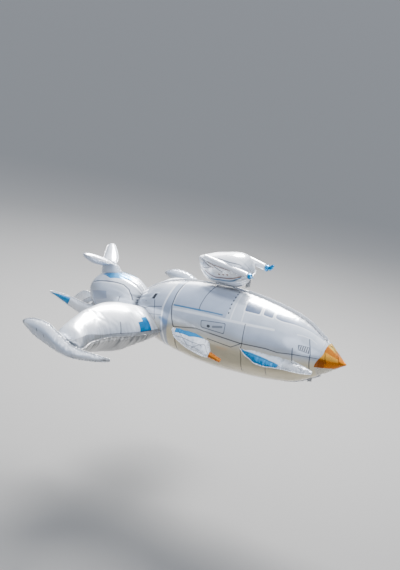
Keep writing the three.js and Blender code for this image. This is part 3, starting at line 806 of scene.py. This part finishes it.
class Print(Tree):
    """A printed surface: a colour that inks are laid over.

    Marks are in millimetres along the piece and across it, or in degrees around a round one."""

    def __init__(self, name, radius=None, base="pearl"):
        self.material = bpy.data.materials.new(name)
        self.material.use_nodes = True
        super().__init__(self.material.node_tree)
        self.shader = self.tree.nodes["Principled BSDF"]
        self.point = self.uv("Print")
        self.u, self.v, _ = self.split(self.point)
        self.along, self.away, _ = self.split(self.uv("Seam"))
        self.place = self.node("TexCoord").outputs["Object"]
        self.x, self.y, self.z = self.split(self.place)
        self.across = DEGREE * radius if radius else MM
        if radius:
            self.degrees = self.math("DIVIDE", self.v, self.across)
        self.crease = self.node("Attribute", attribute_name="Crease").outputs["Fac"]
        self.colour = INK[base]

    def at(self, mark):
        return (mark[0] * MM, mark[1] * self.across, 0.0)

    def lay(self, ink, strength, *masks):
        """Lays an ink over the colour where every mask is full."""
        mask = masks[0]
        for other in masks[1:]:
            mask = self.times(mask, other)
        if strength < 1:
            mask = self.times(mask, strength)
        self.colour = self.mix(mask, self.colour, INK[ink])

    def line(self, points, width, softness=0.8):
        mask = None
        for start, end in zip(points, points[1:]):
            stroke = self.group("ink_stroke", Point=self.point, Start=self.at(start), End=self.at(end),
                                Width=width * MM, Softness=softness * MM)["Mask"]
            mask = stroke if mask is None else self.math("MAXIMUM", mask, stroke)
        return mask

    def lines(self, table):
        for ink, width, softness, strength, points in table:
            self.lay(ink, strength, self.line(points, width, softness))

    def area(self, corners, rim=1.6, rounding=2.0):
        """Fill and rim masks of an area with straight edges that bulges nowhere inwards."""
        places = [self.at(c) for c in corners]
        turn = sum(a[0] * b[1] - b[0] * a[1] for a, b in zip(places, places[1:] + places[:1]))
        if turn < 0:
            places.reverse()
        gap = None
        for start, end in zip(places, places[1:] + places[:1]):
            edge = self.group("ink_edge", Point=self.point, Start=start, End=end)["Distance"]
            gap = edge if gap is None else self.math("SMOOTH_MIN", gap, edge, rounding * MM)
        found = self.group("ink_area", Distance=gap, Width=rim * MM)
        return found["Fill"], found["Rim"]

    def fill(self, corners, ink, strength=1.0, rounding=2.0):
        mask = self.area(corners, rounding=rounding)[0]
        self.lay(ink, strength, mask)
        return mask

    def zone(self, value, low, high=None):
        """Full where the value is above low and below high, each a pair of an edge and a softness."""
        masks = []
        if low:
            masks.append(self.ramp(value, low[0] - low[1] / 2, low[0] + low[1] / 2))
        if high:
            masks.append(self.ramp(value, high[0] - high[1] / 2, high[0] + high[1] / 2, 1.0, 0.0))
        return masks[0] if len(masks) == 1 else self.times(*masks)

    def margin(self, ink="white", strength=0.9):
        """The sealed margin's own colour."""
        self.lay(ink, strength, self.ramp(self.away, -0.0004, -0.0001, 1.0, 0.0))
        return self

    def finish(self, metallic=0.55, roughness=0.24, coat=0.5, crimp=0.0003, reach=0.006):
        film = self.group("foil_film", Point=self.place, Away=self.away)
        crimps = self.group("seam_crimps", Along=self.along, Away=self.away, Reach=reach, Depth=crimp)
        height = self.math("ADD", film["Height"], crimps["Height"])
        bump = self.node("Bump", {"Distance": 1.0, "Height": height})
        # Painted shade: the colour is darkened where the film is creased, as the Crease attribute gives it,
        # and varied by the film's random tint.
        valley = self.times(film["Tint"], self.math("MULTIPLY_ADD", self.crease, -CREASE_SHADE, 1.0))
        shade = self.node("CombineColor", [valley] * 3).outputs[0]
        looks = {
            "Base Color": self.mix(1.0, self.colour, shade, blend_type="MULTIPLY"),
            "Roughness": self.math("ADD", film["Roughness"], roughness - 0.05),
            "Metallic": metallic, "Coat Weight": coat, "Coat Roughness": COAT_ROUGHNESS,
            "Normal": bump.outputs[0],
        }
        for label, value in looks.items():
            self.feed(self.shader.inputs[label], value)
        return self.material


# Millimetres along the hull and degrees from its top line: ink, width, softness, strength, points.
HULL_LINES = [
    ("white", 5.0, 1.5, 0.9, [(-180, 0), (-182, 44), (-185, 69), (-181, 88), (-170, 118), (-166, 170)]),
    ("line", 3.2, 1.0, 0.8, [(-154, 0), (-156, 27), (-157, 42), (-154, 64), (-144, 80), (-129, 96),
                             (-122, 118), (-120, 176)]),
    ("line", 2.3, 0.8, 0.75, [(-50, 0), (-53, 20), (-57, 36), (-59, 53), (-57, 60)]),
    ("white", 3.0, 1.2, 0.9, [(41, 0), (53, 61)]),
    ("white", 3.0, 1.2, 0.9, [(70, 0), (72, 15), (83, 42), (88, 58)]),
    ("stripe", 4.2, 1.0, 0.9, [(-148, 62), (-53, 60)]),
    ("stripe", 3.0, 1.0, 0.85, [(-53, 60), (23, 58)]),
    ("white", 4.5, 3.0, 1.0, [(-143, 68), (42, 63), (101, 60), (136, 58), (190, 54)]),
    ("white", 2.4, 2.2, 0.8, [(260, 45), (298, 37), (316, 40)]),
    ("line", 2.6, 1.0, 0.75, [(-131, 94), (-51, 86), (17, 87), (102, 88), (185, 85), (222, 86),
                              (264, 82), (336, 79)]),
    ("faint", 2.0, 0.8, 0.8, [(-4, 95), (33, 96), (77, 97), (107, 88)]),
    ("line", 2.3, 0.8, 0.7, [(102, 60), (110, 88), (108, 96), (112, 112), (110, 142)]),
    ("faint", 2.0, 0.8, 0.9, [(260, 71), (268, 98)]),
    ("faint", 2.0, 0.8, 0.9, [(294, 40), (306, 60), (311, 72), (315, 112)]),
    ("faint", 1.7, 0.8, 0.7, [(190, 119), (189, 136)]),
    ("dark", 7.4, 1.0, 0.85, [(-11, 78), (-8, 78)]),
    ("line", 4.6, 1.8, 0.55, [(6, 77), (34, 74)]),
    ("white", 2.0, 1.0, 0.8, [(-249, 54), (-240, 44), (-222, 44)]),
    ("line", 3.8, 0.8, 0.6, [(-264, 63), (-263, 63)]),
    ("faint", 2.0, 0.9, 0.9, [(-228, 59), (-220, 71), (-208, 94)]),
    ("faint", 2.0, 0.9, 0.9, [(-286, 87), (-241, 74), (-192, 69)]),
    ("faint", 2.0, 1.2, 0.6, [(-269, 100), (-234, 88), (-186, 83)]),
]
HULL_WINDOWS = [
    [(73, 22), (127, 20), (133, 40), (81, 43)],
    [(132, 20), (165, 17), (174, 38), (139, 38.5)],
    [(170, 16), (177, 35), (198, 37), (266, 27), (330, 14), (330, 8)],
]
HULL_VENT = [(273, 62), (303, 58), (307, 72), (277, 71)]
HULL_BOX = [(-38, 73), (43, 68), (46, 82), (-33, 82)]
HULL_SLOT = [(-238, 45), (-226, 46), (-230, 58), (-244, 57)]
HULL_DOTS = [(29, 3), (33, 25), (35, 40), (41, 57)]
# Painted highlights and shade on the nose's facets, in bands: degrees from the top line, metres along the
# hull until which a band runs, ink, strength.
NOSE_LIGHT_AND_SHADE = [
    ((2, 4), (18, 10), (0.368, 0.014), "yellow", 0.9),
    ((22, 8), (48, 6), (0.384, 0.004), "burnt", 0.4),
    ((50, 6), (78, 8), (0.384, 0.004), "yellow", 0.35),
    ((76, 10), None, (0.353, 0.004), "burnt", 0.6),
    ((84, 8), None, (0.41, 0.004), "burnt", 0.4),
]
# Dark lines painted as shade along the nose's folds: width, strength, points.
NOSE_LINES = [
    (1.7, 0.6, [(340, 35), (349, 62), (354, 84), (356, 96)]),
    (2.0, 0.75, [(377, 12), (381, 30), (387, 64), (390, 90)]),
    (1.5, 0.5, [(343, 45), (331, 88)]),
]


def hull_material(name):
    p = Print(name, HULL_PRINT_RADIUS)
    around = p.degrees
    # Painted highlight: the hull is whiter towards its top line.
    p.lay("white", 0.95, p.zone(around, None, (24, 40)))
    # Painted reflection of the ground: warm beige over the belly.
    p.lay("painted_ground_reflection", 0.8, p.zone(around, (90, 30)))
    p.lay("panel", 0.75, p.zone(p.u, (-0.150, 0.004), (0.036, 0.003)), p.zone(around, (14, 18), (62, 2)))
    p.lay("panel", 0.35, p.zone(p.u, None, (-0.183, 0.004)), p.zone(around, (30, 30)))
    p.lay("band", 0.8, p.zone(p.u, (-0.183, 0.003), (-0.155, 0.003)))
    p.lay("panel", 0.25, p.zone(p.u, (0.11, 0.006)), p.zone(around, (52, 6), (86, 3)))
    beat = p.math("PINGPONG", around, 3.5)
    p.lay("dark", 0.9, p.line(HULL_DOTS, 3.4, 0.6), p.ramp(beat, 1.8, 2.2))
    p.lines(HULL_LINES)
    # Painted shade in the fold at the waist, on the sides.
    p.lay("line", 0.6, p.zone(p.u, None, (WAIST_X + 0.008, 0.012)), p.zone(around, (30, 20)))
    # Painted shadow along the top line, at the foot of the seam's margin.
    p.lay("line", 0.9, p.zone(around, None, (1.9, 1.2)))
    # Painted shadow on the hull under the top pod.
    p.lay("line", 0.5, p.zone(p.u, (-0.105, 0.02), (0.042, 0.02)), p.zone(around, None, (13, 9)))
    p.lay("faint", 0.8, p.area(HULL_BOX, rim=1.4, rounding=8.0)[1])
    p.fill(HULL_SLOT, "dark", 0.95, rounding=1.0)
    for corners in HULL_WINDOWS:
        fill, rim = p.area(corners, rim=3.4, rounding=9.0)
        glow = p.mix(p.ramp(around, 10.0, 42.0), INK["pearl"], INK["window"])
        p.colour = p.mix(fill, p.colour, glow)
        p.lay("white", 0.95, rim)
    vent_fill, vent_rim = p.area(HULL_VENT, rim=1.2, rounding=1.5)
    p.lay("line", 0.8, vent_fill, p.ramp(p.math("PINGPONG", p.u, 0.0029), 0.0008, 0.0014))
    p.lay("faint", 0.9, vent_rim)
    ahead = p.math("SUBTRACT", p.u, p.ramp(around, 55.0, 105.0, 0.343, 0.327))
    above = p.zone(p.z, (-0.012, 0.0016))
    p.lay("orange", 1, p.zone(ahead, (0, 0.0016)), above)
    p.lay("silver", 0.5, p.zone(ahead, (0.004, 0.004)), p.zone(p.z, None, (-0.012, 0.0016)))
    tip = p.times(p.zone(ahead, (0, 0.001)), above)
    # Painted highlights and shade on the nose's facets.
    for low, high, until, ink, strength in NOSE_LIGHT_AND_SHADE:
        p.lay(ink, strength, tip, p.times(p.zone(around, low, high), p.zone(p.u, None, until)))
    # Painted shade along the nose's folds.
    for width, strength, points in NOSE_LINES:
        p.lay("brown", strength, tip, p.line(points, width, 1.0))
    # Painted shadow along the top line, at the foot of the seam's margin.
    p.lay("brown", 0.85, tip, p.zone(around, None, (3.5, 2.5)))
    return p


TAIL_LINES = [
    ("faint", 2.8, 1.0, 0.9, [(-478, 54), (-448, 50), (-417, 47), (-389, 44), (-364, 42), (-343, 48),
                              (-329, 61), (-322, 74)]),
    ("white", 2.2, 1.2, 0.9, [(-478, 58), (-448, 54), (-417, 51), (-389, 48), (-364, 46), (-346, 51),
                              (-333, 63), (-327, 76)]),
    ("line", 2.0, 0.8, 0.7, [(-361, 76), (-363, 88)]),
]
TAIL_PATCH = [(-462, 24), (-440, 2), (-372, 2), (-348, 12), (-372, 26), (-420, 38)]
TAIL_PANEL = [(-474, 85), (-440, 76), (-412, 72), (-403, 90), (-458, 108)]


def tail_pod_material(name):
    p = Print(name, POD_PRINT_RADIUS)
    p.lay("white", 0.7, p.zone(p.degrees, None, (40, 50)))
    p.lay("panel", 0.7, p.zone(p.degrees, (95, 40)))
    p.lines(TAIL_LINES)
    # Painted shade in the fold at the waist, on the sides.
    p.lay("line", 0.6, p.zone(p.u, (WAIST_X - 0.008, 0.012)), p.zone(p.degrees, (30, 20)))
    p.fill(TAIL_PANEL, "panel", 0.8, rounding=3.0)
    p.fill(TAIL_PATCH, "blue", 0.95, rounding=3.0)
    return p


TOP_LINES = [
    ("white", 9.0, 2.0, 0.9, [(-96, 140), (-72, 146), (-40, 137), (-14, 131), (13, 122), (33, 112)]),
    ("teal", 4.6, 1.4, 0.85, [(-96, 140), (-72, 146), (-40, 137), (-14, 131), (13, 122), (33, 112)]),
    ("tan", 3.4, 1.6, 0.8, [(-92, 128), (-51, 130), (-3, 118), (35, 106)]),
    ("tan", 4.0, 1.2, 0.85, [(-38, 115), (-36, 115)]),
    ("tan", 4.0, 1.2, 0.85, [(-23, 111), (-21, 111)]),
    ("tan", 4.0, 1.2, 0.85, [(-8, 107), (-6, 107)]),
    ("faint", 2.4, 1.2, 0.8, [(-52, 66), (-10, 69), (26, 66)]),
    ("faint", 2.2, 1.2, 0.8, [(-56, 96), (-27, 104)]),
    ("tan", 2.0, 1.6, 0.7, [(-104, 84), (-60, 92), (-10, 92), (34, 88)]),
    ("tan", 2.0, 1.6, 0.7, [(-98, 98), (-60, 100)]),
]
TOP_PANEL = [(-104, 92), (-106, 123), (-95, 120), (-69, 101)]


def top_pod_material(name):
    p = Print(name, TOP_PRINT_RADIUS, "white")
    p.lay("panel", 0.3, p.zone(p.degrees, (70, 14), (92, 10)))
    p.lines(TOP_LINES)
    fill, rim = p.area(TOP_PANEL, rim=1.4, rounding=3.0)
    p.lay("panel", 0.4, fill)
    p.lay("faint", 0.9, rim)
    return p.margin()


WING_SQUARE = [
    [(173, 42), (178, 8), (134, 8), (129, 44)],
    [(152, 57), (158, 28), (131, 28), (125, 58)],
]
WING_LINES = [
    ("faint", 1.6, 0.8, 0.9, [(232, 46), (242, 2)]), ("line", 1.2, 0.8, 0.7, [(60, 10), (450, 10)]),
]


def wing_material(name):
    """White above, bare silver film below, and a blue square by the root; also how metallic it is."""
    p = Print(name)
    p.lay("white", 0.8, p.zone(p.v, (0.02, 0.08)))
    foil = 0.5
    for corners in WING_SQUARE:
        foil = p.math("MULTIPLY_ADD", p.fill(corners, "blue"), 0.45, foil)
    p.lines(WING_LINES)
    edge = p.ramp(p.u, 0.27, 0.42, 0.009, 0.034)
    under = p.zone(p.math("SUBTRACT", p.v, edge), None, (0.0, 0.001))
    p.lay("silver", 1, under)
    # Painted highlights: bright glints on the puckers of the silver film near the leading edge.
    beat = p.math("PINGPONG", p.math("MULTIPLY_ADD", p.noise(p.place, 60.0), 0.02, p.u), 0.0065)
    from_row = p.math("ABSOLUTE", p.math("ADD", p.v, 0.0085))
    painted_glint = p.ramp(p.math("SUBTRACT", p.times(beat, 1.2), from_row), -0.0006, 0.0008)
    p.lay("white", 0.85, painted_glint, p.zone(p.u, (0.21, 0.02), (0.36, 0.03)))
    p.margin("silver", 0.7)
    return p, p.math("MULTIPLY_ADD", under, 0.5, foil)


WINGLET_ENDS = (-0.460, -0.178)
WINGLET_LINES = [
    ("line", 1.6, 0.8, 0.8, [(-405, 30), (-400, 39)]), ("line", 1.6, 0.8, 0.8, [(-376, 40), (-373, 49)]),
]


def winglet_material(name):
    p = Print(name)
    p.lay("white", 0.7, p.zone(p.v, (0.0, 0.01), (0.02, 0.02)))
    p.lay("panel", 0.4, p.zone(p.v, (0.035, 0.02)))
    # Dark stripes painted as the shade between the crimped pleats at the winglet's ends.
    crimps = p.ramp(p.math("PINGPONG", p.math("MULTIPLY_ADD", p.u, 0.35, p.v), 0.0022), 0.0006, 0.0016)
    for end in (p.zone(p.u, None, (WINGLET_ENDS[0], 0.004)), p.zone(p.u, (WINGLET_ENDS[1], 0.01))):
        p.lay("silver", 0.9, end)
        p.lay("dark", 0.3, end, crimps)
    p.lines(WINGLET_LINES)
    return p.margin()


MID_FIN_BLUE = [(-121, -6), (-117, 30), (-60, 37), (-16, 24), (2, -6)]
# The 1.4 mm lines are painted shade along the fin's folds towards its tip.
MID_FIN_LINES = [
    ("faint", 1.6, 1.0, 0.65, [(-108, 42), (-45, 50), (-12, 46)]),
    ("faint", 1.4, 1.0, 0.6, [(-12, 10), (-6, 28)]),
    ("faint", 1.4, 1.0, 0.55, [(-112, 20), (-60, 62), (-14, 62)]),
    ("line", 1.4, 0.8, 0.6, [(-40, 66), (18, 14)]),
]
CANARD_BLUE = [(106, 19), (120, 60), (235, 60), (240, 41), (190, 31), (130, 22)]
CANARD_LINES = [
    ("teal", 2.2, 0.8, 0.9, [(112, 21), (140, 29), (185, 35), (225, 40)]),
    ("line", 1.6, 1.0, 0.6, [(285, 6), (325, 6)]), ("faint", 1.4, 1.0, 0.9, [(270, 12), (312, 16)]),
]
UPPER_FIN_LINES = [("burnt", 1.4, 0.8, 0.5, [(5, 7), (105, 7)])]


def mid_fin_material(name):
    p = Print(name, base="white")
    p.fill(MID_FIN_BLUE, "blue")
    p.lines(MID_FIN_LINES)
    return p.margin()


def canard_material(name):
    p = Print(name)
    p.lay("silver", 0.7, p.zone(p.u, (0.25, 0.02)))
    p.fill(CANARD_BLUE, "blue")
    p.lines(CANARD_LINES)
    return p.margin()


def plain_material(name, under="panel", lines=()):
    p = Print(name)
    p.lay("white", 0.5, p.zone(p.v, (0.0, 0.01)))
    p.lay(under, 0.6, p.zone(p.v, None, (-0.002, 0.004)))
    p.lines(lines)
    return p.margin()


def lower_tip_material(name):
    """White, with a blue outer face below its upper edge."""
    p = Print(name, base="white")
    p.lay("blue", 1, p.zone(p.v, (0.0045, 0.0012)))
    return p.margin()


def one_ink_material(name, ink, shade=None):
    p = Print(name, base=ink)
    if shade:
        p.lay(shade, 0.5, p.zone(p.v, (0.004, 0.03)))
    return p.margin(ink if ink == "silver" else "white", 0.9 if ink in ("silver", "white") else 0.15)


# The pieces

def build_hull():
    hull = hull_skin("hull_film", np.linspace(WAIST_X, NOSE_X, HULL_RINGS))
    settle(hull, "hull_foil", hull_material("hull_print").finish(), "hull")
    turn = np.linspace(0, pi / 2, NOSE_RINGS)
    start = NOSE_X + NOSE_GAP
    nose = hull_skin("nose_film", start + (HULL_ROWS[-1][0] * MM - start) * np.sin(turn))
    orange = hull_material("nose_print").finish(metallic=0.8, roughness=0.26, coat=0.25)
    settle(nose, "orange_foil", orange, "nose_cap")
    for node, direction, heights in SEAM_HEIGHTS:
        p = Print(node + "_print", base="white")
        # Painted shadow on the margins in the stretch under the top pod.
        p.lay("panel", 0.9, p.zone(p.x, (-0.105, 0.02), (0.042, 0.02)))
        material = p.finish(metallic=0.15, crimp=0.0002, reach=1.0)
        strip = hull_flange(node + "_margin", direction, heights, material)
        settle(strip, "seam_foil", material, node, soft=False)


def build_pods():
    tail = tail_pod_material("tail_pod_print").finish()
    settle(tail_pod_skin("tail_pod_film"), "pod_foil", tail, "tail_pod")
    top = joined("top_pod_film", top_pod_skin("top_pod_film"), top_pod_frill("top_pod_frill"))
    settle(top, "pod_foil", top_pod_material("top_pod_print").finish(), "top_pod")


# The shapes that the film took on the left, for the same pads on the right.
PUFFED = {}


def build_pad(kind, label, rows, normal, side, material):
    pad = PADS[kind]
    node = kind + label
    seed = pad.seed if pad.swell else pad.seed + side
    skin = pad_skin(node + "_film", rows, normal, side, pad, seed)
    if pad.swell:
        if kind not in PUFFED:
            PUFFED[kind] = puffed(skin, pad.sides, pad.swell) * (1, side, 1)
        skin.data.vertices.foreach_set("co", (PUFFED[kind] * (1, side, 1)).astype(np.float32).ravel())
        skin.data.update()
    strip = pad_flange(node + "_margin", rows, normal, side, pad, seed + 5)
    settle(joined(node + "_film", skin, strip), pad.slot, material, node)


def build_pads():
    wing, shine = wing_material("wing_print")
    orange = one_ink_material("mid_fin_tip_print", "orange", "burnt")
    upper = plain_material("upper_fin_print", lines=UPPER_FIN_LINES)
    film = {
        "wing": wing.finish(metallic=shine, roughness=0.33, coat=0.2),
        "winglet": winglet_material("winglet_print").finish(),
        "mid_fin": mid_fin_material("mid_fin_print").finish(coat=0.25),
        "mid_fin_tip": orange.finish(metallic=0.8, coat=0.25),
        "canard": canard_material("canard_print").finish(coat=0.25),
        "upper_tail_fin": upper.finish(),
        "lower_tail_fin": plain_material("lower_fin_print", "white").finish(metallic=0.2),
        "lower_tail_tip": lower_tip_material("lower_tip_print").finish(),
    }
    for label, side in SIDES:
        hanging = LOWER_FIN_NORMALS[label]
        for kind, rows, normal in (
                ("wing", WING_ROWS, (0, 0, 1)), ("winglet", WINGLET_ROWS, (0, 1, 0)),
                ("mid_fin", MID_FIN_ROWS, SIDE_NORMAL), ("mid_fin_tip", MID_FIN_TIP_ROWS, SIDE_NORMAL),
                ("canard", CANARD_ROWS, SIDE_NORMAL),
                ("upper_tail_fin", swept(UPPER_FIN_ROWS, UPPER_FIN_SWEEP[label]), TAIL_FIN_NORMAL),
                ("lower_tail_fin", LOWER_FIN_ROWS[label], hanging),
                ("lower_tail_tip", LOWER_TIP_ROWS[label], hanging)):
            build_pad(kind, "_" + label, rows, normal, side, film[kind])
    pylon = plain_material("tail_pylon_print", "pearl").finish()
    build_pad("tail_pylon", "", PYLON_ROWS, (0, 1, 0), 1, pylon)
    base = one_ink_material("lower_tail_base_print", "silver", "panel").finish(metallic=0.8, roughness=0.22)
    build_pad("lower_tail_base", "", LOWER_BASE_ROWS, (0, 1, 0), 1, base)


def tube(name, start, end, radius, seed, rings=40, sides=48, rounding=0.3):
    """A thin inflated tube between two points, its ends drawn in."""
    length = (end - start).length
    axis = (end - start).normalized()
    one = axis.orthogonal().normalized()
    start, axis, one, other = (np.array(v) for v in (start, axis, one, axis.cross(one)))
    t = (1 - np.cos(np.linspace(0, pi, rings)))[:, None] / 2 * length
    from_end = np.minimum(t, length - t)
    close = np.clip(from_end / (radius * rounding), 0, 1)
    size = radius * np.sqrt(1 - (1 - close) ** 2) * 0.9 + radius * 0.1
    angle = np.arange(sides) / sides * 2 * pi
    wide = size - puckers(angle * 0.01, from_end, 0.006, 0.0012, 0.006, seed)
    grid = (start + t[..., None] * axis + (wide * np.cos(angle))[..., None] * one
            + (wide * np.sin(angle))[..., None] * other)
    wrap = np.append(angle, 2 * pi) * radius
    return add_skin(name, grid, spread(t, wrap), spread(wrap, from_end))


def build_barrels():
    white = one_ink_material("barrel_print", "white").finish()
    blue = one_ink_material("barrel_cap_print", "blue").finish(metallic=0.8, coat=0.2)
    for label, side in SIDES:
        rear, front, radius, fin_way = BARREL_RUNS[label]
        rear, front, out = Vector(rear), Vector(front), Vector(fin_way).normalized()
        foot = front + (front - rear).normalized() * BARREL_CAP
        settle(tube("barrel_film_" + label, rear, front, radius, 150 + side),
               "pad_foil", white, "barrel_" + label)
        settle(tube("barrel_cap_film_" + label, front, foot, radius, 160 + side, rings=24),
               "blue_foil", blue, "barrel_cap_" + label)
        turn = Vector((0, 0, 1)).rotation_difference(out)
        ahead, face = turn @ Vector((1, 0, 0)), turn @ Vector((0, 1, 0))
        rows = []
        for far, half, thick in BARREL_FIN_ROWS:
            middle = foot + out * far + ahead * (FIN_AHEAD + far * FIN_LEAN)
            lead, trail = middle + ahead * half, middle - ahead * half
            rows.append([*lead / MM, *trail / MM, thick])
            rows[-1][1] *= side
            rows[-1][4] *= side
        build_pad("barrel_fin", "_" + label, rows, (face.x, side * face.y, face.z), side, blue)


def build_necks():
    """The flat tabs by which two of the envelopes were filled."""
    film = Print("neck_print", base="silver").finish(metallic=0.9, crimp=0.0004, reach=1.0)
    for node, (start, end, tall) in NECKS.items():
        path = np.linspace(start, end, NECK_STEPS)
        strip = flange(node + "_film", path, (0, 0, -1), (0, 1, 0), tall, 180, wave=0.0011, rows=16)
        settle(strip, "silver_foil", film, node, soft=False)


# The studio

def build_stage():
    mesh = bpy.data.meshes.new("floor")
    turn = [2 * pi * k / 96 for k in range(96)]
    mesh.from_pydata([(FLOOR_RADIUS * cos(a), FLOOR_RADIUS * sin(a), FLOOR_Z) for a in turn], [],
                     [list(range(96))])
    material = bpy.data.materials.new("floor_paint")
    material.use_nodes = True
    shader = material.node_tree.nodes["Principled BSDF"]
    shader.inputs["Base Color"].default_value = FLOOR_GREY
    shader.inputs["Roughness"].default_value = 0.9
    mesh.materials.append(material)
    added("floor", mesh)


def build_light():
    for name, (place, size, watts, tone) in LAMPS.items():
        light = bpy.data.lights.new(name, "AREA")
        light.shape = "DISK"
        light.size = size
        light.energy = watts
        light.color = tone
        lamp = added(name, light)
        lamp.location = place
        lamp.rotation_mode = "QUATERNION"
        lamp.rotation_quaternion = (-Vector(place)).to_track_quat("-Z", "Y")
    world = bpy.data.worlds.new("studio")
    world.use_nodes = True
    bpy.context.scene.world = world
    t = Tree(world.node_tree)
    height = t.split(t.node("TexCoord").outputs["Generated"])[2]
    ramp = t.node("ValToRGB", [height])
    stops = ramp.color_ramp.elements
    stops[0].color, stops[1].color = STUDIO[0][1], STUDIO[-1][1]
    for position, colour in STUDIO[1:-1]:
        stops.new(position).color = colour
    background = world.node_tree.nodes["Background"]
    t.feed(background.inputs["Color"], ramp.outputs[0])
    background.inputs["Strength"].default_value = STUDIO_STRENGTH


def build_camera():
    held = Matrix.Rotation(-HELD_YAW, 3, "Z") @ Matrix.Rotation(HELD_PITCH, 3, "Y")
    held = held @ Matrix.Rotation(HELD_ROLL, 3, "X")
    looking = Matrix.Rotation(pi / 2 - CAMERA_DOWN, 3, "X")
    turn = held.transposed() @ looking
    seen = Vector(((ORIGIN_PX[0] - PHOTO_PX[0] / 2) / FOCAL_PX * DISTANCE,
                   -(ORIGIN_PX[1] - PHOTO_PX[1] / 2) / FOCAL_PX * DISTANCE, -DISTANCE))
    data = bpy.data.cameras.new("camera")
    data.lens = SENSOR_MM * FOCAL_PX / max(PHOTO_PX)
    data.sensor_width = SENSOR_MM
    data.clip_end = 1000
    camera = added("camera", data)
    camera.matrix_world = Matrix.Translation(turn @ -seen) @ turn.to_4x4()
    bpy.context.scene.camera = camera


build_hull()
build_pods()
build_pads()
build_barrels()
build_necks()
build_stage()
build_light()
build_camera()
